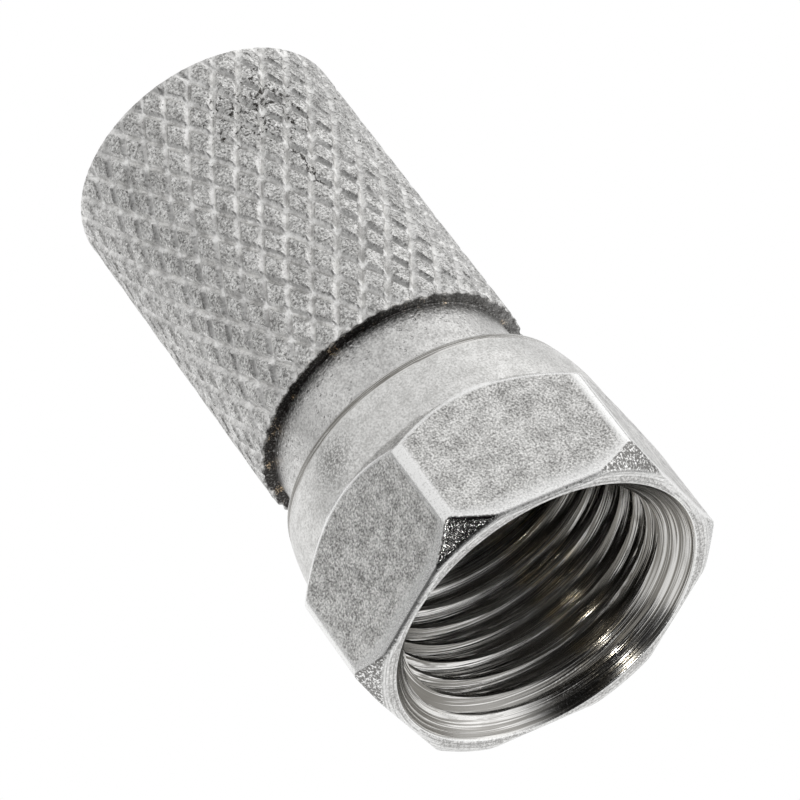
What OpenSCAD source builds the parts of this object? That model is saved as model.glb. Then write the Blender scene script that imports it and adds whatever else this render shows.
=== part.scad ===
// Twist-on F connector for coaxial cable: a knurled body with a swivelling hex nut.
// The axis lies along +X, from the cable end at the origin to the open mouth.
// A flat of the nut faces down.

/* [Knurled sleeve] */
// Diameter over the tops of the knurl
sleeve_d = 9.5; // [9.2:0.1:9.9]
// Length of the knurled sleeve
sleeve_len = 12.4; // [9:0.1:16]
// Diamonds round the sleeve
knurl_teeth = 32; // [24:1:40]
// Lean of the knurl grooves from the axis
knurl_angle = 30; // [26:1:36]
// Depth of the knurl grooves
knurl_depth = 0.14; // [0.1:0.01:0.3]
// Width of the knurl grooves, measured round the sleeve
groove_w = 0.34; // [0.2:0.02:0.5]

/* [Cable end] */
// Diameter of the bore that takes the cable's jacket
cable_bore_d = 7; // [6.4:0.1:7.4]
// Depth of the cable bore
cable_bore_len = 11.4; // [7:0.1:11.8]
// Spacing of the ridges that bite into the jacket
bite_pitch = 1; // [0.8:0.05:1.4]
// Depth between those ridges
bite_depth = 0.22; // [0.1:0.01:0.3]
// Diameter of the hole that takes the cable's dielectric
core_bore_d = 5; // [4.4:0.1:5.4]

/* [Neck and post] */
// Diameter of the plain neck in front of the sleeve
neck_d = 8.6; // [8.2:0.1:9]
// Length of the neck
neck_len = 2.45; // [1.5:0.05:4]
// Diameter of the post that the nut turns on
post_d = 6.4; // [6.2:0.1:6.5]
// How far the flange that holds the nut stands out from the post
flange_reach = 0.9; // [0.5:0.05:1]
// Thickness of the flange
flange_t = 0.4; // [0.3:0.05:0.7]

/* [Coupling nut] */
// Width of the nut across its flats
hex_af = 11; // [10.9:0.1:11.4]
// Length of the nut
nut_len = 7.15; // [6:0.05:9]
// Depth that is turned off each corner of the hexagon
corner_cut = 0.05; // [0.02:0.01:0.15]
// Wall of the round shoulder at the nut's back edge, outside the groove behind the thread
shoulder_wall = 0.4; // [0.3:0.05:0.7]
// How far the shoulder bulges out on its way to the hexagon
bulge = 0.35; // [0.1:0.05:0.5]
// Length of the round shoulder
shoulder_len = 2.3; // [1.8:0.1:3]
// Slope of the cones that bevel the hexagon's corners, from the axis
bevel_angle = 41; // [32:1:50]
// How far the mouth's face reaches past the flats before the front bevel starts
face_rise = 0.2; // [0:0.05:0.4]
// Narrowest width of the mouth's face, from a flat to the countersink
mouth_rim = 0.26; // [0.2:0.01:0.5]
// Thickness of the lip that the flange holds
lip_t = 0.55; // [0.4:0.05:0.9]

/* [Mouth] */
// Diameter inside the coupling thread
thread_minor_d = 8.7; // [8.65:0.01:8.8]
// Spacing of the coupling thread's turns
thread_pitch = 0.794; // [0.75:0.001:0.85]
// Depth of the coupling thread, outside that diameter
thread_depth = 0.4; // [0.2:0.01:0.41]
// Depth of the groove behind the thread, outside that diameter
relief_depth = 0.4; // [0.2:0.05:0.45]
// Length of the groove behind the thread, in front of the lip
relief_len = 0.8; // [0.6:0.05:1.2]

/* [Clearances] */
// Radial clearance between the post and the nut's lip
swivel_clear = 0.08; // [0.03:0.01:0.1]
// Gap on each side of the lip, along the axis
lip_gap = 0.05; // [0.03:0.01:0.15]

/* [Hidden] */
round_fn = 96;
// Length by which a cut runs past the face that it opens
past = 1;

// Stations along the axis, from the cable end
sleeve_front = sleeve_len;
neck_front = sleeve_front + neck_len;
nut_back = neck_front + lip_gap;
lip_front = nut_back + lip_t;
flange_back = lip_front + lip_gap;
flange_front = flange_back + flange_t;
relief_front = lip_front + relief_len;
nut_front = nut_back + nut_len;

relief_d = thread_minor_d + 2 * relief_depth;
countersink_d = hex_af - 2 * mouth_rim;
flange_d = post_d + 2 * flange_reach;
face_r = hex_af / 2 + face_rise;

// Shoulder: its radius in front, and the radius of the arc that bulges it out
shoulder_r = relief_d / 2 + shoulder_wall + bulge;
bulge_r = (pow(shoulder_len, 2) + pow(bulge, 2)) / (2 * bulge);
bulge_steps = 8;
// Distance from the axis to a sharp corner of the hexagon, and to one that is turned round
sharp_reach = hex_af / 2 / cos(30);
corner_reach = sharp_reach - corner_cut;

// Diamonds of the knurl: rows stand half a diamond apart along the sleeve, which
// is cut to length between two rows at each end
tooth_turn = 360 / knurl_teeth;
tooth_w = PI * sleeve_d / knurl_teeth;
knurl_rows = max(2, round(sleeve_len / (tooth_w / 2 / tan(knurl_angle))));
row_len = sleeve_len / knurl_rows;
land = 1 - groove_w / tooth_w;
last_row = knurl_rows + 3;

// Lays a shape that is built up along Z down along X
module lay_down() {
    rotate([0, 90, 0]) children();
}

function ring_point(turn, r, z) = [r * cos(turn), r * sin(turn), z];

function row_z(j) = (j - 1.5) * row_len;

// Corners of one diamond: the groove crossing on its left, then its own
// left, right, back and front corners, kept between the first and last rows
function diamond_points(i, j) =
    let (
        turn = (i + (j % 2) / 2 + 0.5) * tooth_turn,
        r = sleeve_d / 2,
        z = row_z(j)
    ) [
        ring_point(turn - tooth_turn / 2, r - knurl_depth, z),
        ring_point(turn - land * tooth_turn / 2, r, z),
        ring_point(turn + land * tooth_turn / 2, r, z),
        ring_point(turn, r, max(row_z(0), z - land * row_len)),
        ring_point(turn, r, min(row_z(last_row), z + land * row_len))
    ];

// Index of a diamond's point: 0 crossing, 1 left, 2 right, 3 back, 4 front
function point_at(i, j, k) = 5 * (j * knurl_teeth + (i + knurl_teeth) % knurl_teeth) + k;

// One side of a diamond falls from its edge a-b to the groove crossings p and q
function side(a, b, p, q) = [[a, p, b], [b, p, q]];

function diamond_faces(i, j) =
    let (
        left = point_at(i, j, 1),
        right = point_at(i, j, 2),
        back = point_at(i, j, 3),
        front = point_at(i, j, 4),
        dip_left = point_at(i, j, 0),
        dip_right = point_at(i + 1, j, 0),
        dip_back = point_at(i + j % 2, j - 1, 0),
        dip_front = point_at(i + j % 2, j + 1, 0)
    ) concat(
        [[left, front, back], [back, front, right]],
        j > 0 ? side(left, back, dip_left, dip_back) : [],
        j > 0 ? side(back, right, dip_back, dip_right) : [],
        j < last_row ? side(right, front, dip_right, dip_front) : [],
        j < last_row ? side(front, left, dip_front, dip_left) : []
    );

// The jagged outline of one end, once round
function rim(j) = [for (i = [0 : knurl_teeth - 1]) for (k = [0, 1, j == 0 ? 3 : 4, 2]) point_at(i, j, k)];

function reversed(list) = [for (i = [len(list) - 1 : -1 : 0]) list[i]];

module knurled_bar() {
    points = [
        for (j = [0 : last_row]) for (i = [0 : knurl_teeth - 1])
            for (p = diamond_points(i, j)) p
    ];
    sides = [
        for (j = [0 : last_row]) for (i = [0 : knurl_teeth - 1])
            for (f = diamond_faces(i, j)) f
    ];
    polyhedron(points, concat(sides, [rim(0), reversed(rim(last_row))]));
}

module rod(d, from, to) {
    translate([0, 0, from]) cylinder(d = d, h = to - from, $fn = round_fn);
}

// V grooves round a hole, one to each pitch, with a full land left at both ends
module ring_grooves(d, depth, pitch, from, to) {
    count = floor((to - from) / pitch);
    land_share = 0.25;
    first = (from + to - count * pitch) / 2;
    for (k = [0 : count - 1]) translate([0, 0, first + (k + 0.5) * pitch]) {
        half = pitch * (1 - land_share) / 2;
        rotate_extrude($fn = round_fn)
            polygon([[0, -half], [d / 2, -half], [d / 2 + depth, 0], [d / 2, half], [0, half]]);
    }
}

module body() {
    color([0.72, 0.72, 0.71]) lay_down() difference() {
        union() {
            intersection() {
                knurled_bar();
                rod(sleeve_d + past, 0, sleeve_front);
            }
            rod(neck_d, sleeve_front - past, neck_front);
            rod(post_d, neck_front - past, flange_back + flange_t / 2);
            rod(flange_d, flange_back, flange_front);
        }
        rod(cable_bore_d, -past, cable_bore_len);
        ring_grooves(cable_bore_d, bite_depth, bite_pitch, 0, cable_bore_len);
        rod(core_bore_d, 0, flange_front + past);
    }
}

// Sharp hexagon with a flat facing down once laid along X
module hexagon() {
    polygon([for (k = [0 : 5]) sharp_reach * [cos(60 * k + 30), sin(60 * k + 30)]]);
}

// Outline that is turned to bound the nut: shoulder, back bevel, corners, front bevel
module nut_outline() {
    shoulder_end = nut_back + shoulder_len;
    polygon(concat(
        [[0, nut_back]],
        [for (s = [0 : bulge_steps])
            let (z = shoulder_len * s / bulge_steps)
            [shoulder_r - bulge_r + sqrt(pow(bulge_r, 2) - pow(shoulder_len - z, 2)), nut_back + z]],
        [
            [corner_reach, shoulder_end + (corner_reach - shoulder_r) / tan(bevel_angle)],
            [corner_reach, nut_front - (corner_reach - face_r) / tan(bevel_angle)],
            [face_r, nut_front],
            [0, nut_front]
        ]
    ));
}

module coupling_nut() {
    sink = (countersink_d - thread_minor_d) / 2;
    color([0.76, 0.76, 0.75]) lay_down() difference() {
        intersection() {
            rotate_extrude($fn = round_fn) nut_outline();
            translate([0, 0, nut_back]) linear_extrude(nut_len) hexagon();
        }
        rod(post_d + 2 * swivel_clear, nut_back - past, lip_front + relief_len / 2);
        rod(relief_d, lip_front, relief_front);
        rod(thread_minor_d, relief_front - relief_len / 2, nut_front + past);
        ring_grooves(thread_minor_d, thread_depth, thread_pitch, relief_front, nut_front - sink);
        translate([0, 0, nut_front - sink])
            cylinder(d1 = thread_minor_d, d2 = countersink_d + 2 * past, h = sink + past, $fn = round_fn);
    }
}

body();
coupling_nut();
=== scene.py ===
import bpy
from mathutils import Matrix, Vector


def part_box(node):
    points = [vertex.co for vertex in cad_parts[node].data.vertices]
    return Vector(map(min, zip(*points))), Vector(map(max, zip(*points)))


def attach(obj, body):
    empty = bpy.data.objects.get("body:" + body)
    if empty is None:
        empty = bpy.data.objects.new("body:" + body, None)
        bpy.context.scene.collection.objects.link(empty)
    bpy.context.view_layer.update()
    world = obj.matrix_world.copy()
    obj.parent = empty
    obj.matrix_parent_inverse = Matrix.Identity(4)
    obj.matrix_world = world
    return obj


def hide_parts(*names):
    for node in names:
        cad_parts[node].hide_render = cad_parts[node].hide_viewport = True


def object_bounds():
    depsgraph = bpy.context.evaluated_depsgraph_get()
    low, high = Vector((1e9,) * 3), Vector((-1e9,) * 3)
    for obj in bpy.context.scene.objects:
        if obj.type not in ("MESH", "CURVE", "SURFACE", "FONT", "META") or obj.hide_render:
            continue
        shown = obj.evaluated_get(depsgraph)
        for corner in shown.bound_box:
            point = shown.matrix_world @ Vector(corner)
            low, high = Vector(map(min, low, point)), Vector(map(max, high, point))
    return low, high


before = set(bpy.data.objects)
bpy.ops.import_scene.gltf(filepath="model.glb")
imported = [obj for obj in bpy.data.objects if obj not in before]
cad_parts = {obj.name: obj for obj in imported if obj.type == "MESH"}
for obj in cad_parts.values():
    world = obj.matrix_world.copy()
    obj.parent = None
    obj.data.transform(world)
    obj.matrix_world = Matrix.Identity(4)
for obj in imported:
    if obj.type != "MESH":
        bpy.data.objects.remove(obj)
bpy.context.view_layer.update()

from math import atan2, cos, pi, radians, sin, sqrt, tan

import bmesh
import bpy
from mathutils import Matrix, Vector

# A twist-on F connector, in metres. The axis lies along +X and a flat of the nut faces down.

mm = 0.001
# how near points are welded, taken as lying on a cut, and merged in a finished piece
weldGap, cutGap, mergeGap = 1e-6, 1e-7, 2e-8
bodyLow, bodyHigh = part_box("body")
nutLow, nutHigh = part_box("coupling_nut")


# Helpers for node trees

def feed(tree, socket, value):
    if isinstance(value, bpy.types.NodeSocket):
        tree.links.new(value, socket)
    else:
        socket.default_value = value


def addNode(tree, kind, inputs=(), **settings):
    made = tree.nodes.new(kind)
    for key, value in settings.items():
        setattr(made, key, value)
    for key, value in dict(inputs).items():
        feed(tree, made.inputs[key], value)
    return made


def calc(tree, operation, *values):
    return addNode(tree, "ShaderNodeMath", enumerate(values), operation=operation).outputs[0]


def mapValue(tree, value, fromLow, fromHigh, toLow=0.0, toHigh=1.0, ease="LINEAR"):
    made = addNode(tree, "ShaderNodeMapRange", {"Value": value, "From Min": fromLow, "From Max": fromHigh,
                                                "To Min": toLow, "To Max": toHigh}, interpolation_type=ease)
    return made.outputs["Result"]


def joinXyz(tree, x, y, z):
    return addNode(tree, "ShaderNodeCombineXYZ", {"X": x, "Y": y, "Z": z}).outputs[0]


def splitXyz(tree, vector):
    return addNode(tree, "ShaderNodeSeparateXYZ", {"Vector": vector}).outputs


def wrapRound(tree, axial, radius, turn):
    # does in a tree what axisPoint does
    return joinXyz(tree, axial, calc(tree, "MULTIPLY", radius, calc(tree, "SINE", turn)),
                   calc(tree, "MULTIPLY", calc(tree, "MULTIPLY", radius, calc(tree, "COSINE", turn)), -1.0))


def distanceTo(tree, place, centre):
    return addNode(tree, "ShaderNodeVectorMath", {0: place, 1: centre}, operation="DISTANCE").outputs["Value"]


def dotWith(tree, vector, direction):
    return addNode(tree, "ShaderNodeVectorMath", {0: vector, 1: direction},
                   operation="DOT_PRODUCT").outputs["Value"]


def newShapeTree(name, sizes):
    tree = bpy.data.node_groups.new(name, "GeometryNodeTree")
    tree.interface.new_socket("Geometry", in_out="OUTPUT", socket_type="NodeSocketGeometry")
    for socketName, kind in sizes:
        tree.interface.new_socket(socketName, in_out="INPUT", socket_type="NodeSocket" + kind)
    return tree, addNode(tree, "NodeGroupInput").outputs


def endShapeTree(tree, shape, material):
    realized = addNode(tree, "GeometryNodeRealizeInstances", {"Geometry": shape}).outputs[0]
    welded = addNode(tree, "GeometryNodeMergeByDistance",
                     {"Geometry": realized, "Distance": weldGap}).outputs[0]
    finished = addNode(tree, "GeometryNodeSetMaterial", {"Geometry": welded, "Material": material}).outputs[0]
    tree.links.new(finished, addNode(tree, "NodeGroupOutput").inputs[0])


def growMesh(tree, values):
    # runs a shape tree once and keeps its result as a plain mesh
    holder = bpy.data.objects.new(tree.name, bpy.data.meshes.new(tree.name))
    bpy.context.scene.collection.objects.link(holder)
    modifier = holder.modifiers.new(tree.name, "NODES")
    modifier.node_group = tree
    for item in tree.interface.items_tree:
        if item.in_out == "INPUT":
            modifier[item.identifier] = values[item.name]
    depsgraph = bpy.context.evaluated_depsgraph_get()
    mesh = bpy.data.meshes.new_from_object(holder.evaluated_get(depsgraph))
    holder.modifiers.remove(modifier)
    bpy.data.objects.remove(holder)
    return mesh


# Helpers for turned shapes

def turnOf(vert):
    # angle round the axis, from straight down towards +Y
    return atan2(vert.co.y, -vert.co.z) % (2 * pi)


def axisPoint(x, r, turn):
    return Vector((x, r * sin(turn), -r * cos(turn)))


def addRing(bm, x, r, turns):
    return [bm.verts.new(axisPoint(x, r, turn)) for turn in turns]


def joinRings(bm, first, second):
    count = len(first)
    for k in range(count):
        bm.faces.new((first[k], first[(k + 1) % count], second[(k + 1) % count], second[k]))


def latheOn(bm, ring, profile, turns):
    # turns a profile on from the ring that it starts at
    for x, r in profile:
        following = addRing(bm, x, r, turns)
        joinRings(bm, ring, following)
        ring = following
    return ring


def stitch(bm, first, second):
    # closes the band between two rings that have different numbers of points
    first, second = sorted(first, key=turnOf), sorted(second, key=turnOf)
    i = j = 0
    while i < len(first) or j < len(second):
        aheadFirst = turnOf(first[(i + 1) % len(first)]) + (2 * pi if i + 1 >= len(first) else 0)
        aheadSecond = turnOf(second[(j + 1) % len(second)]) + (2 * pi if j + 1 >= len(second) else 0)
        a, b = first[i % len(first)], second[j % len(second)]
        if j >= len(second) or (i < len(first) and aheadFirst <= aheadSecond):
            bm.faces.new((a, first[(i + 1) % len(first)], b))
            i += 1
        else:
            bm.faces.new((a, second[(j + 1) % len(second)], b))
            j += 1


def trim(bm, x, side):
    # cuts off what lies past x, on the +X side or on the -X side, and gives the points on the cut
    cut = bmesh.ops.bisect_plane(bm, geom=bm.verts[:] + bm.edges[:] + bm.faces[:], dist=cutGap,
                                 plane_co=(x, 0, 0), plane_no=(side, 0, 0), clear_outer=True)
    return [item for item in cut["geom_cut"] if isinstance(item, bmesh.types.BMVert)]


def finishPiece(bm, name, material, sharp):
    bmesh.ops.remove_doubles(bm, verts=bm.verts, dist=mergeGap)
    bmesh.ops.recalc_face_normals(bm, faces=bm.faces)
    mesh = bpy.data.meshes.new(name)
    bm.to_mesh(mesh)
    bm.free()
    mesh.materials.clear()
    mesh.materials.append(material)
    mesh.polygons.foreach_set("use_smooth", [True] * len(mesh.polygons))
    mesh.polygons.foreach_set("material_index", [0] * len(mesh.polygons))
    mesh.set_sharp_from_angle(angle=sharp)
    piece = bpy.data.objects.new(name, mesh)
    bpy.context.scene.collection.objects.link(piece)
    return piece


# Thread cut inside a hole: one strip wound round the hole, one pitch wide

def makeThreadTree():
    tree, given = newShapeTree("holeThread", [
        ("Crest Radius", "Float"), ("Root Radius", "Float"), ("Pitch", "Float"), ("Start", "Float"),
        ("Turns", "Int"), ("Steps per Turn", "Int"), ("Steps per Pitch", "Int"),
        ("Crest Share", "Float"), ("Root Share", "Float"),
        ("Mouth X", "Float"), ("Mouth Radius", "Float"), ("Mouth Slope", "Float"),
        ("Waviness", "Float"), ("Seed", "Float"), ("Material", "Material")])
    along = calc(tree, "ADD", calc(tree, "MULTIPLY", given["Turns"], given["Steps per Turn"]), 1.0)
    grid = addNode(tree, "GeometryNodeMeshGrid", {
        "Size X": 1.0, "Size Y": 1.0, "Vertices X": along,
        "Vertices Y": calc(tree, "ADD", given["Steps per Pitch"], 1.0)}).outputs["Mesh"]
    place = splitXyz(tree, addNode(tree, "GeometryNodeInputPosition").outputs[0])
    wound = calc(tree, "MULTIPLY", calc(tree, "ADD", place["X"], 0.5), given["Turns"])
    across = calc(tree, "ADD", place["Y"], 0.5)
    turn = calc(tree, "MULTIPLY", wound, 2 * pi)
    axial = calc(tree, "ADD", given["Start"], calc(tree, "MULTIPLY", given["Pitch"],
                                                   calc(tree, "ADD", wound, across)))
    fromCrest = calc(tree, "ABSOLUTE", calc(tree, "SUBTRACT", across, 0.5))
    halfCrest = calc(tree, "MULTIPLY", given["Crest Share"], 0.5)
    halfRoot = calc(tree, "MULTIPLY", given["Root Share"], 0.5)
    depth = mapValue(tree, fromCrest, halfCrest, calc(tree, "SUBTRACT", 0.5, halfRoot))
    cut = calc(tree, "MULTIPLY", depth, calc(tree, "SUBTRACT", given["Root Radius"], given["Crest Radius"]))
    radius = calc(tree, "ADD", given["Crest Radius"], cut)
    # ripples follow the turn and change quickly along the axis
    ripple = addNode(tree, "ShaderNodeTexNoise", {
        "Vector": joinXyz(tree, calc(tree, "MULTIPLY", axial, 1300.0),
                          calc(tree, "MULTIPLY", calc(tree, "SINE", turn), 0.5),
                          calc(tree, "MULTIPLY", calc(tree, "COSINE", turn), 0.5)),
        "W": given["Seed"], "Scale": 6.0, "Detail": 3.0},
        noise_dimensions="4D").outputs[0]
    radius = calc(tree, "ADD", radius, calc(tree, "MULTIPLY", ripple, given["Waviness"]))
    # the cone at the mouth cuts the first turns away
    slope = calc(tree, "MULTIPLY", calc(tree, "ABSOLUTE", calc(tree, "SUBTRACT", given["Mouth X"], axial)),
                 given["Mouth Slope"])
    radius = calc(tree, "MAXIMUM", radius, calc(tree, "SUBTRACT", given["Mouth Radius"], slope))
    shaped = addNode(tree, "GeometryNodeSetPosition", {
        "Geometry": grid, "Position": wrapRound(tree, axial, radius, turn)}).outputs[0]
    endShapeTree(tree, shaped, given["Material"])
    return tree


def cutThread(threadTree, values, backX, frontX):
    # a thread that is wound past both ends and cut to length
    mesh = growMesh(threadTree, values)
    bm = bmesh.new()
    bm.from_mesh(mesh)
    trim(bm, backX, -1)
    trim(bm, frontX, 1)
    bm.to_mesh(mesh)
    bm.free()
    return mesh


# Knurl: one curved diamond, set out in rows round the sleeve and welded

sleeve = dict(
    length=12.4 * mm, radius=bodyHigh.z, teeth=32, rows=15, grooveDepth=0.14 * mm, grooveShare=0.42,
    backRim=0.45 * mm, frontRim=0.2 * mm, gridPoints=9, lumpScale=1500.0, unevenness=0.008, seed=3.0,
    stretch=((0.0, 0.0), (0.25, 0.52), (0.5, 0.64), (0.75, 0.86), (1.0, 1.0)))


def makeKnurlTree():
    tree, given = newShapeTree("sleeveKnurl", [
        ("Radius", "Float"), ("Tooth Turn", "Float"), ("Row Length", "Float"), ("Teeth", "Int"),
        ("Rows", "Int"), ("Groove Depth", "Float"), ("Groove Share", "Float"), ("Unevenness", "Float"),
        ("Seed", "Float"), ("Back Rim", "Float"), ("Front Rim", "Float"), ("Material", "Material")])
    grid = addNode(tree, "GeometryNodeMeshGrid", {
        "Size X": 1.0, "Size Y": 1.0, "Vertices X": sleeve["gridPoints"],
        "Vertices Y": sleeve["gridPoints"]}).outputs["Mesh"]
    place = splitXyz(tree, addNode(tree, "GeometryNodeInputPosition").outputs[0])
    spaced, drops = [], []
    for axis in ("X", "Y"):
        # 0 in the middle of the diamond's top and 1 in the middle of the groove
        curve = addNode(tree, "ShaderNodeFloatCurve",
                        {"Value": calc(tree, "MULTIPLY", calc(tree, "ABSOLUTE", place[axis]), 2.0)})
        points = curve.mapping.curves[0].points
        for x, y in sleeve["stretch"][1:-1]:
            points.new(x, y)
        for point in points:
            point.handle_type = "VECTOR"
        curve.mapping.update()
        outward = curve.outputs[0]
        side = calc(tree, "MULTIPLY", calc(tree, "SIGN", place[axis]), 0.5)
        spaced.append(calc(tree, "MULTIPLY", outward, side))
        drops.append(mapValue(tree, outward, calc(tree, "SUBTRACT", 1.0, given["Groove Share"]), 1.0,
                              ease="SMOOTHSTEP"))
    sunkBy = calc(tree, "MAXIMUM", *drops)
    radius = calc(tree, "SUBTRACT", given["Radius"], calc(tree, "MULTIPLY", sunkBy, given["Groove Depth"]))
    # a diamond is one tooth wide and two rows long
    halfTooth = calc(tree, "MULTIPLY", given["Tooth Turn"], 0.5)
    turn = calc(tree, "MULTIPLY", calc(tree, "SUBTRACT", *spaced), halfTooth)
    axial = calc(tree, "MULTIPLY", calc(tree, "ADD", *spaced), given["Row Length"])
    marked = addNode(tree, "GeometryNodeStoreNamedAttribute",
                     {"Geometry": grid, "Name": "groove", "Value": sunkBy},
                     data_type="FLOAT", domain="POINT").outputs[0]
    diamond = addNode(tree, "GeometryNodeSetPosition", {
        "Geometry": marked, "Position": wrapRound(tree, axial, radius, turn)}).outputs[0]

    # rows start one and a half rows behind the sleeve and end as far in front of it, to be trimmed
    index = addNode(tree, "GeometryNodeInputIndex").outputs[0]
    row = calc(tree, "FLOOR", calc(tree, "DIVIDE", index, given["Teeth"]))
    tooth = calc(tree, "SUBTRACT", index, calc(tree, "MULTIPLY", row, given["Teeth"]))
    offset = calc(tree, "ADD", calc(tree, "FRACT", calc(tree, "DIVIDE", row, 2.0)), 0.5)
    rowX = calc(tree, "MULTIPLY", calc(tree, "SUBTRACT", row, 1.5), given["Row Length"])
    toothTurn = calc(tree, "MULTIPLY", calc(tree, "ADD", tooth, offset), given["Tooth Turn"])
    count = calc(tree, "MULTIPLY", given["Teeth"], calc(tree, "ADD", given["Rows"], 4.0))
    seats = addNode(tree, "GeometryNodePoints",
                    {"Count": count, "Position": joinXyz(tree, rowX, 0.0, 0.0)}).outputs[0]
    ring = addNode(tree, "GeometryNodeInstanceOnPoints", {
        "Points": seats, "Instance": diamond, "Rotation": joinXyz(tree, toothTurn, 0.0, 0.0)}).outputs[0]
    whole = addNode(tree, "GeometryNodeRealizeInstances", {"Geometry": ring}).outputs[0]
    # rolled diamonds aren't quite level, always below the full radius
    here = addNode(tree, "GeometryNodeInputPosition").outputs[0]
    lumps = addNode(tree, "ShaderNodeTexNoise", {
        "Vector": here, "W": given["Seed"], "Scale": sleeve["lumpScale"], "Detail": 3.0},
        noise_dimensions="4D").outputs[0]
    parts = splitXyz(tree, here)
    reach = addNode(tree, "ShaderNodeVectorMath", {0: joinXyz(tree, 0.0, parts["Y"], parts["Z"])},
                    operation="LENGTH").outputs["Value"]
    # the grooves run out towards the ends
    length = calc(tree, "MULTIPLY", given["Row Length"], given["Rows"])
    toBack = mapValue(tree, parts["X"], given["Back Rim"], 0.0, 0.0, 1.0, "SMOOTHSTEP")
    toFront = mapValue(tree, parts["X"], calc(tree, "SUBTRACT", length, given["Front Rim"]), length, 0.0, 0.5)
    filled = calc(tree, "MULTIPLY", calc(tree, "SUBTRACT", calc(tree, "DIVIDE", given["Radius"], reach), 1.0),
                  calc(tree, "MAXIMUM", toBack, toFront))
    sink = calc(tree, "SUBTRACT", calc(tree, "ADD", filled, 1.0),
                calc(tree, "MULTIPLY", lumps, given["Unevenness"]))
    sunk = joinXyz(tree, parts["X"], calc(tree, "MULTIPLY", parts["Y"], sink),
                   calc(tree, "MULTIPLY", parts["Z"], sink))
    lumpy = addNode(tree, "GeometryNodeSetPosition", {"Geometry": whole, "Position": sunk}).outputs[0]
    endShapeTree(tree, lumpy, given["Material"])
    return tree


# Body: knurled sleeve, neck, post and flange, bored from the back

bodySizes = dict(
    neckRadius=4.3 * mm, neckFront=14.85 * mm, postRadius=3.2 * mm, flangeRadius=4.1 * mm,
    flangeBack=15.5 * mm, flangeRound=0.12 * mm, coreRadius=2.5 * mm, boreFloor=11.4 * mm,
    boreCrest=3.5 * mm, boreRoot=3.72 * mm, borePitch=1.0 * mm, boreLead=2.0 * mm, boreInside=4.2 * mm,
    mouthRadius=3.97 * mm, mouthCone=3.95 * mm, mouthTrim=0.05 * mm, floorTrim=0.3 * mm,
    floorStep=0.02 * mm, edge=0.06 * mm, steps=160, sharp=radians(38))


def makeBody(material, threadTree):
    s, b = sleeve, bodySizes
    turns = [2 * pi * k / b["steps"] for k in range(b["steps"])]
    e, front = b["edge"], bodyHigh.x
    knurl = growMesh(makeKnurlTree(), {
        "Radius": s["radius"], "Tooth Turn": 2 * pi / s["teeth"], "Row Length": s["length"] / s["rows"],
        "Teeth": s["teeth"], "Rows": s["rows"], "Groove Depth": s["grooveDepth"],
        "Groove Share": s["grooveShare"], "Unevenness": s["unevenness"], "Seed": s["seed"],
        "Back Rim": s["backRim"], "Front Rim": s["frontRim"], "Material": material})
    bm = bmesh.new()
    bm.from_mesh(knurl)
    backRim = trim(bm, bodyLow.x, -1)
    frontRim = trim(bm, s["length"], 1)

    # neck, post and flange, and back down the bore to its floor
    neckRoot = addRing(bm, s["length"], b["neckRadius"] + 0.5 * e, turns)
    stitch(bm, frontRim, neckRoot)
    flangeEdge = [(b["flangeBack"] + (front - b["flangeBack"]) * (0.5 - 0.5 * cos(a)),
                   b["flangeRadius"] - b["flangeRound"] * (1 - sin(a)))
                  for a in (pi * k / 8 for k in range(9))]
    profile = [
        (s["length"] + 0.5 * e, b["neckRadius"]),
        *[(s["length"] + (b["neckFront"] - s["length"]) * k / 6, b["neckRadius"]) for k in range(1, 6)],
        (b["neckFront"] - e, b["neckRadius"]), (b["neckFront"], b["neckRadius"] - e),
        (b["neckFront"], b["postRadius"]), (b["flangeBack"], b["postRadius"]), *flangeEdge,
        (front, b["coreRadius"] + 2 * e), (front - 2 * e, b["coreRadius"]),
        (b["boreFloor"], b["coreRadius"]), (b["boreFloor"], b["boreRoot"])]
    boreFloorRing = latheOn(bm, neckRoot, profile, turns)

    # the thread that bites into the jacket, joined to the sleeve's back edge and to the floor
    mouthX, floorX = bodyLow.x + b["mouthTrim"], b["boreFloor"] - b["floorTrim"]
    bm.from_mesh(cutThread(threadTree, {
        "Crest Radius": b["boreCrest"], "Root Radius": b["boreRoot"], "Pitch": b["borePitch"],
        "Start": -b["boreLead"], "Turns": 15, "Steps per Turn": 80, "Steps per Pitch": 10,
        "Crest Share": 0.2, "Root Share": 0.3, "Mouth X": bodyLow.x, "Mouth Radius": b["mouthCone"],
        "Mouth Slope": 0.8, "Waviness": 0.0, "Seed": 5.0, "Material": material}, mouthX, floorX))
    loose = [v for v in bm.verts if (v.is_boundary or v.is_wire) and v.co.yz.length < b["boreInside"]]
    mouthCut = [v for v in loose if abs(v.co.x - mouthX) < weldGap]
    floorCut = [v for v in loose if abs(v.co.x - floorX) < weldGap]
    mouthRing = addRing(bm, bodyLow.x, b["mouthRadius"], turns)
    stitch(bm, backRim, mouthRing)
    stitch(bm, mouthRing, mouthCut)
    floorRing = addRing(bm, floorX, b["boreRoot"] + b["floorStep"], turns)
    stitch(bm, floorCut, floorRing)
    joinRings(bm, floorRing, boreFloorRing)
    return finishPiece(bm, "knurled_body", material, b["sharp"])


# Nut: round shoulder, hexagon bevelled at both ends, threaded mouth

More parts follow.
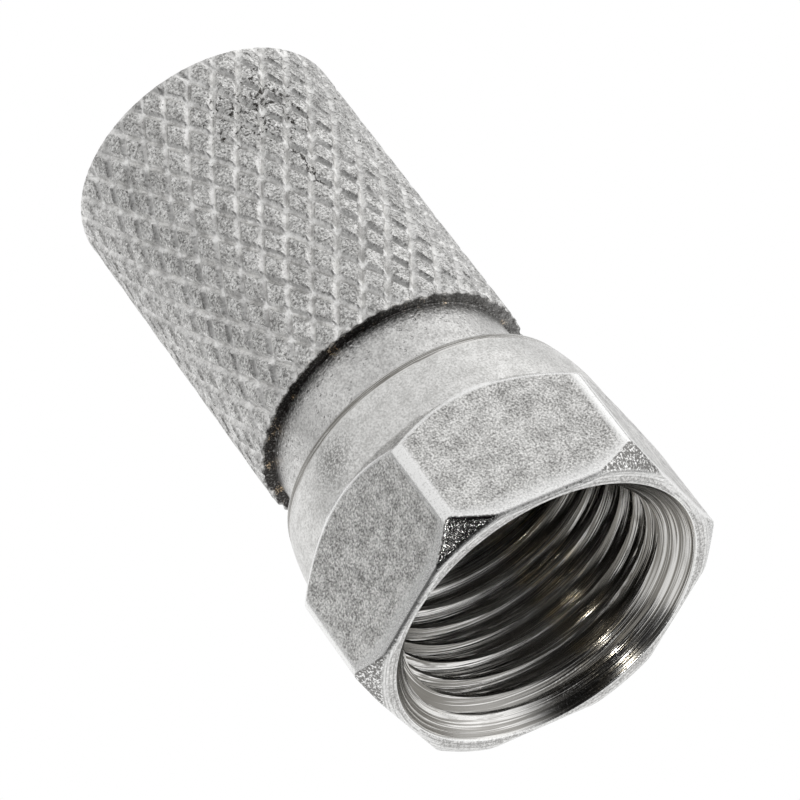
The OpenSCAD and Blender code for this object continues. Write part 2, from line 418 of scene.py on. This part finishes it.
nutSizes = dict(
    halfFlats=nutHigh.z, cornerRadius=0.35 * mm, cornerBand=0.15 * mm, shoulderRadius=5.15 * mm,
    shoulderLength=2.3 * mm, bevel=radians(41), faceRadius=5.7 * mm, rearBlend=0.10 * mm,
    frontRound=0.20 * mm, backEdge=0.035 * mm, mouthRadius=5.24 * mm, mouthEdge=0.05 * mm,
    stepRadius=4.97 * mm, stepDepth=0.35 * mm, threadCrest=4.35 * mm, threadRoot=4.76 * mm,
    threadPitch=25.4 * mm / 32, threadBack=16.25 * mm, threadLead=1.2 * mm, threadTrim=0.02 * mm,
    threadWaviness=0.05 * mm, lipFront=15.45 * mm, lipRadius=3.28 * mm, lipEdge=0.05 * mm,
    reliefRadius=4.75 * mm, reliefStep=0.04 * mm, reliefCorner=0.1 * mm,
    bevelPolishAndHighlight=0.9, facePolishAndHighlight=0.6, mouthPolishAndHighlight=0.5, sharp=radians(34))


def hexagonOutline(n):
    # turn and reach of each point round the rounded hexagon
    # and how near it is to a corner, from 0 to 1
    points = []
    reach = (n["halfFlats"] - n["cornerRadius"]) / cos(pi / 6)
    tangent = reach * sin(pi / 6)
    flatSteps, cornerSteps = 30, 8
    for side in range(6):
        middle = side * pi / 3
        for k in range(flatSteps):
            along = tangent * sin(pi / 2 * (2 * k / flatSteps - 1))
            near = max(0.0, 1 - (tangent - abs(along)) / n["cornerBand"])
            reached = sqrt(along ** 2 + n["halfFlats"] ** 2)
            points.append((middle + atan2(along, n["halfFlats"]), reached, near))
        for k in range(cornerSteps):
            bend = pi / 3 * k / cornerSteps - pi / 6
            x = reach + n["cornerRadius"] * cos(bend)
            y = n["cornerRadius"] * sin(bend)
            points.append((middle + pi / 6 + atan2(y, x), sqrt(x * x + y * y), 1.0))
    return points


def nutColumn(n, reach, near):
    # outline of the nut from its back edge to its mouth, through one point of the hexagon,
    # and how far each point is painted bright, for rubbed plating and for painted highlights on the edges
    back, front = nutLow.x, nutHigh.x
    shoulderEnd = back + n["shoulderLength"]
    bulge = n["halfFlats"] - n["shoulderRadius"]
    bulgeRadius = (n["shoulderLength"] ** 2 + bulge ** 2) / (2 * bulge)
    climb = tan(n["bevel"])

    def turned(x):
        if x <= shoulderEnd:
            return n["halfFlats"] - bulgeRadius + sqrt(bulgeRadius ** 2 - (shoulderEnd - x) ** 2)
        return n["halfFlats"] + (x - shoulderEnd) * climb

    def softened(x):
        gap = max(n["rearBlend"] - abs(turned(x) - reach), 0) / n["rearBlend"]
        return min(turned(x), reach) - gap * gap * n["rearBlend"] / 4

    rearEdge = shoulderEnd + (reach - n["halfFlats"]) / climb
    wide = n["rearBlend"] / climb
    start = back + n["backEdge"]
    settle = min(shoulderEnd, rearEdge - wide)
    stations = [start + (settle - start) * k / 10 for k in range(10)]
    stations += [settle + (rearEdge - wide - settle) * k / 3 for k in range(3)]
    stations += [rearEdge + wide * (k / 4 - 1) for k in range(9)]

    # front end: the rounded corners are arcs about points inside the metal
    rho = n["frontRound"]
    bevelNormal = pi / 2 - n["bevel"]
    bx, br = cos(bevelNormal), sin(bevelNormal)
    bevelLine = bx * front + br * n["faceRadius"] - rho
    flatCentre = ((bevelLine - br * (reach - rho)) / bx, reach - rho)
    faceCentre = (front - rho, (bevelLine - bx * (front - rho)) / br)
    if flatCentre[0] > front - rho:
        flatCentre = faceCentre = (front - rho, reach - rho)
    flatStart = rearEdge + wide
    stations += [flatStart + (flatCentre[0] - flatStart) * k / 8 for k in range(1, 8)]
    column = [(back, turned(start) - n["backEdge"], 0.0)]
    column += [(start - n["backEdge"] * cos(a), turned(start) - n["backEdge"] * (1 - sin(a)), 0.0)
               for a in (pi / 8, pi / 4, 3 * pi / 8)]
    column += [(x, softened(x), max(near if x > rearEdge else 0.0, 1 - (abs(x - rearEdge) / wide) ** 2, 0.0))
               for x in stations]
    column += [(flatCentre[0] + rho * cos(a), flatCentre[1] + rho * sin(a), n["bevelPolishAndHighlight"])
               for a in (pi / 2 + (bevelNormal - pi / 2) * k / 5 for k in range(6))]
    first, last = column[-1], (faceCentre[0] + rho * bx, faceCentre[1] + rho * br)
    column += [(first[0] + (last[0] - first[0]) * k / 3, first[1] + (last[1] - first[1]) * k / 3, 0.0)
               for k in (1, 2)]
    column += [(faceCentre[0] + rho * cos(a), faceCentre[1] + rho * sin(a), n["facePolishAndHighlight"])
               for a in (bevelNormal * (1 - k / 6) for k in range(7))]
    outer = column[-1][1]
    mouth = n["mouthRadius"] + n["mouthEdge"]
    column += [(front, outer + (mouth - outer) * k / 4, 0.0) for k in range(1, 5)]
    column += [(front - n["mouthEdge"] * (1 - cos(a)), mouth - n["mouthEdge"] * sin(a), 1.0)
               for a in (pi / 6, pi / 3)]
    column += [(front - n["mouthEdge"], n["mouthRadius"], n["mouthPolishAndHighlight"]),
               (front - n["stepDepth"], n["stepRadius"], 0.0)]
    return column


def makeNut(material, threadTree):
    n = nutSizes
    outline = hexagonOutline(n)
    bm = bmesh.new()
    polishAndHighlight = bm.verts.layers.float.new("polishAndHighlight")
    columns = []
    for turn, reach, near in outline:
        column = []
        for x, r, rubbedAndHighlit in nutColumn(n, reach, near):
            vert = bm.verts.new(axisPoint(x, r, turn))
            vert[polishAndHighlight] = rubbedAndHighlit
            column.append(vert)
        columns.append(column)
    rings = list(zip(*columns))
    for first, second in zip(rings, rings[1:]):
        joinRings(bm, first, second)
    back, front = nutLow.x, nutHigh.x

    # the coupling thread, from the step in the mouth to the groove behind it, and then the lip
    stepX = front - n["stepDepth"]
    cutFront, cutBack = stepX - n["threadTrim"], n["threadBack"]
    bm.from_mesh(cutThread(threadTree, {
        "Crest Radius": n["threadCrest"], "Root Radius": n["threadRoot"], "Pitch": n["threadPitch"],
        "Start": cutBack - n["threadLead"], "Turns": 9, "Steps per Turn": 144, "Steps per Pitch": 30,
        "Crest Share": 0.2, "Root Share": 0.12, "Mouth X": stepX, "Mouth Radius": n["stepRadius"],
        "Mouth Slope": 0.95, "Waviness": n["threadWaviness"], "Seed": 2.0, "Material": material},
        cutBack, cutFront))
    inside = [v for v in bm.verts if v.is_boundary and v.co.yz.length < n["stepRadius"] - weldGap]
    frontCut = [v for v in inside if abs(v.co.x - cutFront) < weldGap]
    backCut = [v for v in inside if abs(v.co.x - cutBack) < weldGap]
    stitch(bm, rings[-1], frontCut)
    turns = [turn for turn, reach, near in outline]
    reliefRing = addRing(bm, cutBack, n["threadRoot"] + n["reliefStep"], turns)
    stitch(bm, backCut, reliefRing)
    corner, edge = n["reliefCorner"], n["lipEdge"]
    lipBack = latheOn(bm, reliefRing, [
        (n["lipFront"] + corner, n["reliefRadius"]), (n["lipFront"], n["reliefRadius"] - corner),
        (n["lipFront"], n["lipRadius"] + edge), (n["lipFront"] - edge, n["lipRadius"]),
        (back + edge, n["lipRadius"]), (back, n["lipRadius"] + edge)], turns)
    joinRings(bm, lipBack, rings[0])
    return finishPiece(bm, "hex_coupling_nut", material, n["sharp"])


# Satin nickel

def makeGrainGroup():
    # fine grain, dark specks, broad mottle and pits from a place in millimetres
    group = bpy.data.node_groups.new("nickelGrain", "ShaderNodeTree")
    for name, kind in (("Place", "Vector"), ("Grain Scale", "Float"), ("Mottle Scale", "Float"),
                       ("Pit Scale", "Float"), ("Pit Share", "Float")):
        group.interface.new_socket(name, in_out="INPUT", socket_type="NodeSocket" + kind)
    for name in ("Grain", "Mottle", "Specks", "Pits"):
        group.interface.new_socket(name, in_out="OUTPUT", socket_type="NodeSocketFloat")
    given = addNode(group, "NodeGroupInput").outputs
    grain = addNode(group, "ShaderNodeTexNoise", {"Vector": given["Place"], "Scale": given["Grain Scale"],
                                                  "Detail": 2.0, "Roughness": 0.7}).outputs[0]
    mottle = addNode(group, "ShaderNodeTexNoise", {"Vector": given["Place"], "Scale": given["Mottle Scale"],
                                                   "Detail": 5.0, "Roughness": 0.7}).outputs[0]
    shifted = addNode(group, "ShaderNodeVectorMath", {0: given["Place"], 1: (7.3, 2.1, 4.9)}).outputs[0]
    scatter = addNode(group, "ShaderNodeTexNoise", {"Vector": shifted, "Scale": given["Grain Scale"],
                                                    "Detail": 1.0, "Roughness": 0.6}).outputs[0]
    specks = mapValue(group, scatter, 0.40, 0.30)
    cells = addNode(group, "ShaderNodeTexVoronoi", {"Vector": given["Place"], "Scale": given["Pit Scale"]})
    cellRed = addNode(group, "ShaderNodeSeparateColor", {"Color": cells.outputs["Color"]}).outputs[0]
    chosen = mapValue(group, cellRed, given["Pit Share"], calc(group, "SUBTRACT", given["Pit Share"], 0.02))
    spots = mapValue(group, cells.outputs["Distance"], 0.42, 0.18, ease="SMOOTHSTEP")
    pits = calc(group, "MULTIPLY", spots, chosen)
    result = addNode(group, "NodeGroupOutput")
    for name, value in (("Grain", grain), ("Mottle", mottle), ("Specks", specks), ("Pits", pits)):
        feed(group, result.inputs[name], value)
    return group


def placeInMm(tree):
    here = addNode(tree, "ShaderNodeTexCoord").outputs["Object"]
    return addNode(tree, "ShaderNodeVectorMath", {0: here, "Scale": 1 / mm},
                   operation="SCALE").outputs["Vector"]


def radiusInMm(tree, parts):
    return calc(tree, "SQRT", calc(tree, "ADD", calc(tree, "POWER", parts["Y"], 2.0),
                                   calc(tree, "POWER", parts["Z"], 2.0)))


def tint(tree, factor, first, second):
    # a mix from one colour to the next, either of them fixed or made before
    made = addNode(tree, "ShaderNodeMix", {"Factor": factor}, data_type="RGBA")
    for socket, colour in ((made.inputs[6], first), (made.inputs[7], second)):
        feed(tree, socket, colour if isinstance(colour, bpy.types.NodeSocket) else (*colour, 1))
    return made.outputs[2]


def blend(tree, factor, first, second):
    return addNode(tree, "ShaderNodeMix", {0: factor, 2: first, 3: second}).outputs[0]


def between(tree, value, low, high, soft):
    # 1 from low to high, falling to 0 over the soft width outside
    return calc(tree, "MULTIPLY", mapValue(tree, value, low - soft, low),
                mapValue(tree, value, high + soft, high))


def streaks(tree, place, stretch, roughness=0.5):
    # noise that is fine along the axis and long round it
    stretched = addNode(tree, "ShaderNodeVectorMath", {0: place, 1: stretch}, operation="MULTIPLY").outputs[0]
    return addNode(tree, "ShaderNodeTexNoise", {"Vector": stretched, "Scale": 1.0, "Detail": 2.0,
                                                "Roughness": roughness}).outputs[0]


def useGroup(tree, group, **values):
    made = addNode(tree, "ShaderNodeGroup", node_tree=group)
    for name, value in values.items():
        feed(tree, made.inputs[name.replace("_", " ")], value)
    return made.outputs


def newMetal(name):
    material = bpy.data.materials.new(name)
    material.use_nodes = True
    tree = material.node_tree
    tree.nodes.clear()
    shader = addNode(tree, "ShaderNodeBsdfPrincipled")
    shader.inputs["Metallic"].default_value = 1.0
    tree.links.new(shader.outputs[0], addNode(tree, "ShaderNodeOutputMaterial").inputs["Surface"])
    return material, tree, shader


def addBump(tree, shader, height, strength, distance):
    bump = addNode(tree, "ShaderNodeBump", {"Height": height, "Strength": strength, "Distance": distance})
    feed(tree, shader.inputs["Normal"], bump.outputs[0])


# places in mm; a pair is where a change starts and where it ends
nutFinish = dict(
    frontX=nutHigh.x / mm, faceRadius=nutSizes["faceRadius"] / mm, bevelClimb=tan(nutSizes["bevel"]),
    shoulderEdge=(17.35, 17.15), faceEdge=(0.12, 0.06), bevelBand=0.03, bevelInner=(5.72, 5.78),
    holeRadius=(5.26, 5.22), holeBack=(14.9, 15.0), sinkEdge=(21.0, 21.35),
    patchCentre=(16.15, -4.13, 3.41), patchReach=(1.1, 0.2),
    lineStretch=(15.0, 0.10, 0.10), hairStretch=(34.0, 0.30, 0.30), breakStretch=(9.0, 0.9, 0.9),
    dark=(0.22, 0.216, 0.209), light=(0.92, 0.913, 0.896), faceDark=(0.34, 0.336, 0.328),
    faceLight=(0.88, 0.875, 0.86), shoulderDark=(0.56, 0.555, 0.54), shoulderLight=(0.90, 0.895, 0.88),
    bright=(0.95, 0.95, 0.94), insideDark=(0.22, 0.21, 0.19), insideLight=(0.84, 0.83, 0.81),
    gold=(1.0, 0.90, 0.72), roughness=(0.40, 0.28), rubbedRoughness=0.22, bevelRoughness=0.13,
    holeRoughness=(0.26, 0.14), bumpHeight=0.014 * mm)


def makeNutFinish(grainGroup):
    c = nutFinish
    material, tree, shader = newMetal("satinNickelNut")
    place = placeInMm(tree)
    parts = splitXyz(tree, place)
    radius = radiusInMm(tree, parts)
    fromFront = calc(tree, "SUBTRACT", c["frontX"], parts["X"])
    grain = useGroup(tree, grainGroup, Place=place, Grain_Scale=14.0, Mottle_Scale=1.9, Pit_Scale=5.0,
                     Pit_Share=0.2)
    shade = calc(tree, "ADD", mapValue(tree, grain["Grain"], 0.32, 0.66),
                 mapValue(tree, grain["Mottle"], 0.35, 0.65, -0.25, 0.25))
    shade = calc(tree, "SUBTRACT", shade, calc(tree, "MULTIPLY", grain["Specks"], 0.35))
    flats = tint(tree, shade, c["dark"], c["light"])
    turned = tint(tree, shade, c["shoulderDark"], c["shoulderLight"])
    face = tint(tree, shade, c["faceDark"], c["faceLight"])
    onFace = mapValue(tree, fromFront, *c["faceEdge"])
    outside = tint(tree, mapValue(tree, parts["X"], *c["shoulderEdge"]), flats, turned)
    outside = tint(tree, onFace, outside, face)
    # a darker, grainy patch on the shoulder
    nearPatch = mapValue(tree, distanceTo(tree, place, c["patchCentre"]), *c["patchReach"])
    patch = calc(tree, "MULTIPLY", nearPatch, mapValue(tree, grain["Grain"], 0.6, 0.42))
    outside = tint(tree, calc(tree, "MULTIPLY", patch, 0.8), outside, c["dark"])
    # edges painted bright: partly rubbed plating, partly painted highlights along the corners and rounded
    # edges
    rubbedAndHighlit = addNode(tree, "ShaderNodeAttribute", attribute_name="polishAndHighlight").outputs["Fac"]
    rubbedAndHighlit = calc(tree, "MULTIPLY", rubbedAndHighlit, mapValue(tree, grain["Grain"], 0.3, 0.5, 0.7, 1.0))
    outside = tint(tree, rubbedAndHighlit, outside, c["bright"])
    # turning marks on the mouth's face
    rings = addNode(tree, "ShaderNodeTexNoise", {"Vector": joinXyz(tree, radius, 0.0, 0.0), "Scale": 9.0,
                                                 "Detail": 2.0}).outputs[0]
    marks = calc(tree, "MULTIPLY", mapValue(tree, rings, 0.50, 0.40),
                 mapValue(tree, grain["Mottle"], 0.38, 0.55))
    marks = calc(tree, "MULTIPLY", calc(tree, "MULTIPLY", onFace, marks), 0.75)
    outside = tint(tree, marks, outside, c["dark"])
    # the front bevel is glossier; its colour is painted dark with bright grains, as a painted dark reflection
    # with painted glints
    cone = calc(tree, "SUBTRACT", calc(tree, "SUBTRACT", radius, c["faceRadius"]),
                calc(tree, "MULTIPLY", fromFront, c["bevelClimb"]))
    band = c["bevelBand"]
    onBevel = calc(tree, "MULTIPLY", between(tree, cone, -band, band, band),
                   mapValue(tree, radius, *c["bevelInner"]))
    bevelDarkAndGlints = tint(tree, mapValue(tree, grain["Grain"], 0.50, 0.60), c["dark"], c["bright"])
    outside = tint(tree, onBevel, outside, bevelDarkAndGlints)

    # the hole: painted dark as painted shade, with fine lines from the tap bumped in and painted pale as
    # painted highlights, and painted lighter low down and darker towards +Y as painted light and shade
    lines = blend(tree, 0.4, streaks(tree, place, c["lineStretch"], 0.6),
                  streaks(tree, place, c["hairStretch"]))
    breaks = streaks(tree, place, c["breakStretch"])
    lineShade = calc(tree, "MULTIPLY", mapValue(tree, lines, 0.495, 0.55), mapValue(tree, breaks, 0.34, 0.46))
    lineShade = calc(tree, "ADD", lineShade, mapValue(tree, parts["Z"], -2.8, -4.3, 0.0, 0.25))
    lineShade = calc(tree, "MULTIPLY", lineShade, mapValue(tree, parts["Y"], 2.4, 4.2, 1.0, 0.45))
    # the countersink is painted lighter, as painted light
    onSink = mapValue(tree, parts["X"], *c["sinkEdge"])
    sinkShade = calc(tree, "MULTIPLY", onSink, mapValue(tree, lines, 0.46, 0.56, 0.0, 0.8))
    lineShade = calc(tree, "MAXIMUM", lineShade, sinkShade)
    # the countersink is painted dark and speckled low on its +Y side, as a painted dark reflection
    paintedSinkShade = calc(tree, "MULTIPLY", between(tree, parts["Y"], 0.7, 2.5, 0.7),
                  mapValue(tree, parts["Z"], -3.5, -4.0))
    paintedSinkShade = calc(tree, "MULTIPLY", calc(tree, "MULTIPLY", paintedSinkShade, onSink),
                  mapValue(tree, grain["Grain"], 0.62, 0.5))
    sinkUnshaded = calc(tree, "SUBTRACT", 1.0, calc(tree, "MULTIPLY", paintedSinkShade, 0.9))
    lineShade = calc(tree, "MULTIPLY", lineShade, sinkUnshaded)
    # and the lines there are painted a little golden, as painted glints
    goldSide = between(tree, parts["Y"], 2.0, 3.2, 0.5)
    lowSide = mapValue(tree, parts["Z"], -2.2, -3.0)
    goldenGlints = calc(tree, "MULTIPLY", calc(tree, "MULTIPLY", goldSide, lowSide),
                mapValue(tree, breaks, 0.42, 0.55))
    inside = tint(tree, lineShade, c["insideDark"], tint(tree, goldenGlints, c["insideLight"], c["gold"]))
    inHole = calc(tree, "MULTIPLY", mapValue(tree, radius, *c["holeRadius"]),
                  mapValue(tree, parts["X"], *c["holeBack"]))
    feed(tree, shader.inputs["Base Color"], tint(tree, inHole, outside, inside))

    rough = mapValue(tree, grain["Mottle"], 0.3, 0.7, *c["roughness"])
    rough = blend(tree, rubbedAndHighlit, rough, c["rubbedRoughness"])
    rough = blend(tree, onBevel, rough, c["bevelRoughness"])
    rough = blend(tree, inHole, rough, mapValue(tree, lines, 0.3, 0.7, *c["holeRoughness"]))
    feed(tree, shader.inputs["Roughness"], rough)
    height = calc(tree, "SUBTRACT", grain["Grain"], calc(tree, "MULTIPLY", grain["Pits"], 0.5))
    height = blend(tree, inHole, height, calc(tree, "MULTIPLY", lines, 2.6))
    height = blend(tree, onBevel, height, calc(tree, "MULTIPLY", grain["Grain"], 2.0))
    strength = calc(tree, "SUBTRACT", 1.0, calc(tree, "MULTIPLY", rubbedAndHighlit, 0.7))
    addBump(tree, shader, height, strength, c["bumpHeight"])
    return material


bodyFinish = dict(
    sleeveFront=sleeve["length"] / mm, neckRadius=bodySizes["neckRadius"] / mm,
    wornCentre=(2.9, 0.5, 4.6), wornReach=(2.4, 0.8), crackY=0.55, crackEnds=(4.6, 6.6),
    crackEdge=(0.035, 0.012), crackTop=(3.0, 4.0), neckShadeReach=0.7, faceShadeRim=(4.70, 4.62),
    dark=(0.22, 0.217, 0.21), light=(0.92, 0.915, 0.90), grooveDark=(0.50, 0.495, 0.485),
    grooveLight=(0.93, 0.925, 0.91), neckDark=(0.50, 0.495, 0.485), neckLight=(0.86, 0.855, 0.84),
    paintedShadeBlack=(0.025, 0.022, 0.02), gold=(0.85, 0.62, 0.36), pitColour=(0.06, 0.055, 0.05),
    roughness=(0.42, 0.28), bumpHeight=0.018 * mm)


def makeBodyFinish(grainGroup):
    c = bodyFinish
    material, tree, shader = newMetal("satinNickelBody")
    place = placeInMm(tree)
    parts = splitXyz(tree, place)
    radius = radiusInMm(tree, parts)
    front = c["sleeveFront"]
    grain = useGroup(tree, grainGroup, Place=place, Grain_Scale=12.5, Mottle_Scale=2.2, Pit_Scale=6.0,
                     Pit_Share=0.3)
    shade = calc(tree, "ADD", mapValue(tree, grain["Grain"], 0.3, 0.7),
                 mapValue(tree, grain["Mottle"], 0.3, 0.7, -0.3, 0.3))
    shade = calc(tree, "SUBTRACT", shade, calc(tree, "MULTIPLY", grain["Specks"], 0.7))
    # the groove walls are painted paler than the diamond tops, as painted light on the walls and painted
    # shade on the tops
    tops = tint(tree, shade, c["dark"], c["light"])
    wallShade = calc(tree, "ADD", calc(tree, "MULTIPLY", shade, 0.5),
                     mapValue(tree, grain["Mottle"], 0.40, 0.60, 0.1, 0.7))
    walls = tint(tree, wallShade, c["grooveDark"], c["grooveLight"])
    groove = addNode(tree, "ShaderNodeAttribute", attribute_name="groove").outputs["Fac"]
    knurl = tint(tree, mapValue(tree, groove, 0.75, 0.15), walls, tops)

    # pits, denser towards the back and in one worn patch, and a hairline crack in the plating
    worn = mapValue(tree, distanceTo(tree, place, c["wornCentre"]), *c["wornReach"])
    holes = addNode(tree, "ShaderNodeTexNoise", {"Vector": place, "Scale": 5.0, "Detail": 5.0,
                                                 "Roughness": 0.75}).outputs[0]
    rear = mapValue(tree, parts["X"], 9.0, 1.0, 0.345, 0.385)
    limit = calc(tree, "ADD", rear, calc(tree, "MULTIPLY", worn, 0.09))
    eaten = mapValue(tree, calc(tree, "SUBTRACT", limit, holes), 0.0, 0.05)
    drift = addNode(tree, "ShaderNodeTexNoise", {"Vector": place, "Scale": 2.2, "Detail": 4.0}).outputs[0]
    crackLine = calc(tree, "ADD", c["crackY"], mapValue(tree, drift, 0.3, 0.7, -0.22, 0.22))
    offLine = calc(tree, "ABSOLUTE", calc(tree, "SUBTRACT", parts["Y"], crackLine))
    crack = calc(tree, "MULTIPLY", mapValue(tree, offLine, *c["crackEdge"]),
                 between(tree, parts["X"], *c["crackEnds"], 0.2))
    crack = calc(tree, "MULTIPLY", crack, mapValue(tree, parts["Z"], *c["crackTop"]))
    eaten = calc(tree, "MAXIMUM", eaten, crack)
    knurl = tint(tree, eaten, knurl, c["pitColour"])

    # neck, painted darker beside the sleeve as painted shade in the corner, its tones a little darker than
    # the nut's shoulder as painted shade beside the nut
    neck = tint(tree, shade, c["neckDark"], c["neckLight"])
    fade = calc(tree, "MULTIPLY", mapValue(tree, parts["X"], front + c["neckShadeReach"], front),
                mapValue(tree, grain["Grain"], 0.62, 0.35))
    neck = tint(tree, calc(tree, "MULTIPLY", fade, 0.75), neck, c["paintedShadeBlack"])
    onNeck = mapValue(tree, parts["X"], front, front + 0.02)
    colour = tint(tree, onNeck, knurl, neck)
    # painted shade on the sleeve's front face, near-black with warm streaks, ragged at both edges and thinner
    # on the +Y side
    jagged = calc(tree, "ADD", parts["X"], mapValue(tree, grain["Grain"], 0.3, 0.7, -0.05, 0.05))
    faceShade = calc(tree, "MULTIPLY", mapValue(tree, jagged, front - 0.07, front - 0.03),
                 mapValue(tree, parts["X"], front + 0.06, front + 0.03))
    offNeck = mapValue(tree, radius, c["neckRadius"] - 0.04, c["neckRadius"] - 0.01)
    faceShade = calc(tree, "MULTIPLY", faceShade, offNeck)
    ragged = calc(tree, "ADD", radius, mapValue(tree, grain["Mottle"], 0.3, 0.7, -0.12, 0.12))
    faceShade = calc(tree, "MULTIPLY", faceShade, mapValue(tree, ragged, *c["faceShadeRim"], 0.25, 1.0))
    thin = calc(tree, "MULTIPLY", mapValue(tree, parts["Y"], -1.5, 3.0, 1.0, 0.72),
                mapValue(tree, grain["Grain"], 0.70, 0.50, 0.7, 1.0))
    streak = calc(tree, "MULTIPLY", mapValue(tree, grain["Mottle"], 0.56, 0.64),
                  mapValue(tree, grain["Grain"], 0.5, 0.6))
    colour = tint(tree, calc(tree, "MULTIPLY", faceShade, thin), colour, tint(tree, streak, c["paintedShadeBlack"], c["gold"]))
    feed(tree, shader.inputs["Base Color"], colour)

    feed(tree, shader.inputs["Roughness"], mapValue(tree, grain["Mottle"], 0.3, 0.7, *c["roughness"]))
    height = calc(tree, "SUBTRACT", grain["Grain"], calc(tree, "MULTIPLY", grain["Pits"], 0.8))
    height = calc(tree, "SUBTRACT", height, calc(tree, "MULTIPLY", eaten, 2.0))
    strength = calc(tree, "MAXIMUM", mapValue(tree, groove, 0.45, 0.05, 0.35, 1.0), onNeck)
    addBump(tree, shader, height, strength, c["bumpHeight"])
    return material


# Camera, floor and light

view = dict(azimuth=radians(61.0), elevation=radians(47.65), distance=0.1789, lens=256.0, sensor=36.0,
            clip=(0.005, 10.0), aim=Vector((12.05, 0.4, -0.15)) * mm)


def makeCamera():
    a, e = view["azimuth"], view["elevation"]
    back = Vector((sin(a) * cos(e), -cos(a) * cos(e), sin(e)))
    data = bpy.data.cameras.new("camera")
    data.lens = view["lens"]
    data.sensor_width = view["sensor"]
    data.clip_start, data.clip_end = view["clip"]
    camera = bpy.data.objects.new("camera", data)
    camera.location = view["aim"] + back * view["distance"]
    camera.rotation_mode = "QUATERNION"
    camera.rotation_quaternion = (-back).to_track_quat("-Z", "Y")
    bpy.context.scene.collection.objects.link(camera)
    bpy.context.scene.camera = camera


# metal sees the lit sheet round the part and the dimmer room past it, darkest in one corner
floor = dict(half=0.6, drop=0.01 * mm, colour=(0.9, 0.9, 0.9, 1), centre=(0.011, 0.008),
             sheetFade=(0.024, 0.07, 0.95, 0.36), cornerToward=(0.66, -0.75, 0.0),
             cornerFade=(0.035, 0.06, 1.0, 0.12))


def makeFloor():
    mesh = bpy.data.meshes.new("floor")
    half, low = floor["half"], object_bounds()[0].z - floor["drop"]
    mesh.from_pydata([(-half, -half, low), (half, -half, low), (half, half, low), (-half, half, low)], [],
                     [(0, 1, 2, 3)])
    ground = bpy.data.objects.new("floor", mesh)
    bpy.context.scene.collection.objects.link(ground)
    material = bpy.data.materials.new("paleFloor")
    material.use_nodes = True
    tree = material.node_tree
    tree.nodes.clear()
    diffuse = addNode(tree, "ShaderNodeBsdfDiffuse", {"Color": floor["colour"]})
    glow = addNode(tree, "ShaderNodeEmission", {"Color": (1, 1, 1, 1), "Strength": 1.0})
    path = addNode(tree, "ShaderNodeLightPath").outputs
    here = addNode(tree, "ShaderNodeTexCoord").outputs["Object"]
    away = distanceTo(tree, here, (*floor["centre"], low))
    sheet = mapValue(tree, away, *floor["sheetFade"], "SMOOTHSTEP")
    corner = dotWith(tree, here, floor["cornerToward"])
    sheet = calc(tree, "MULTIPLY", sheet, mapValue(tree, corner, *floor["cornerFade"]))
    unseen = calc(tree, "SUBTRACT", 1.0, path["Is Camera Ray"])
    sheet = calc(tree, "MAXIMUM", calc(tree, "MULTIPLY", sheet, unseen), path["Is Camera Ray"])
    feed(tree, glow.inputs["Strength"], sheet)
    seen = calc(tree, "MAXIMUM", path["Is Camera Ray"],
                calc(tree, "MAXIMUM", path["Is Glossy Ray"], path["Is Transmission Ray"]))
    mixed = addNode(tree, "ShaderNodeMixShader", {0: seen, 1: diffuse.outputs[0], 2: glow.outputs[0]})
    tree.links.new(mixed.outputs[0], addNode(tree, "ShaderNodeOutputMaterial").inputs["Surface"])
    mesh.materials.append(material)


# a bright sky towards +Y, a dark screen above the part and a dark flag low down on the near side
studio = dict(
    sky=(0.20, 0.75, 0.80, 1.15), screenToward=(0.60, -0.33, 0.73), screenFade=(0.50, 0.90, 1.0, 0.01),
    flagToward=(0.66, -0.75, 0.0), flagFade=(0.65, 0.88, 1.0, 0.08), lampSize=(0.016, 0.09), lampPower=0.10,
    lampToward=Vector((0.42, -0.68, 0.62)), lampDistance=0.25, lampAim=Vector((19.0, 0.0, 0.0)) * mm)


def makeLight():
    world = bpy.data.worlds.new("studio")
    bpy.context.scene.world = world
    world.use_nodes = True
    tree = world.node_tree
    tree.nodes.clear()
    background = addNode(tree, "ShaderNodeBackground", {"Color": (1, 1, 1, 1), "Strength": 1.0})
    tree.links.new(background.outputs[0], addNode(tree, "ShaderNodeOutputWorld").inputs["Surface"])
    toward = addNode(tree, "ShaderNodeTexCoord").outputs["Generated"]
    sky = mapValue(tree, splitXyz(tree, toward)["Y"], *studio["sky"])
    screen = mapValue(tree, dotWith(tree, toward, studio["screenToward"]), *studio["screenFade"],
                      "SMOOTHSTEP")
    flag = mapValue(tree, dotWith(tree, toward, studio["flagToward"]), *studio["flagFade"])
    shade = calc(tree, "MULTIPLY", calc(tree, "MULTIPLY", sky, screen), flag)
    lit = addNode(tree, "ShaderNodeLightPath").outputs["Is Camera Ray"]
    feed(tree, background.inputs["Strength"], calc(tree, "MAXIMUM", shade, lit))

    # a strip whose long side follows the axis
    lamp = bpy.data.lights.new("strip", "AREA")
    lamp.shape = "RECTANGLE"
    lamp.size, lamp.size_y = studio["lampSize"]
    lamp.energy = studio["lampPower"]
    strip = bpy.data.objects.new("strip", lamp)
    out = studio["lampToward"].normalized()
    long = (Vector((1, 0, 0)) - out * out.x).normalized()
    strip.matrix_world = Matrix.Translation(studio["lampAim"] + out * studio["lampDistance"]) @ Matrix(
        (long.cross(out), long, out)).transposed().to_4x4()
    bpy.context.scene.collection.objects.link(strip)


scene = bpy.context.scene
for old in [o for o in scene.objects if o.type in {"CAMERA", "LIGHT"}]:
    bpy.data.objects.remove(old)
makeCamera()
grainGroup = makeGrainGroup()
threadTree = makeThreadTree()
print("camera and node groups made")

body = makeBody(makeBodyFinish(grainGroup), threadTree)
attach(body, "body")
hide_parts("body")
print("body made:", len(body.data.polygons), "faces")

nut = makeNut(makeNutFinish(grainGroup), threadTree)
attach(nut, "coupling_nut")
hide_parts("coupling_nut")
print("nut made:", len(nut.data.polygons), "faces")

makeFloor()
makeLight()
scene.view_settings.view_transform = "Standard"
print("floor and light made")
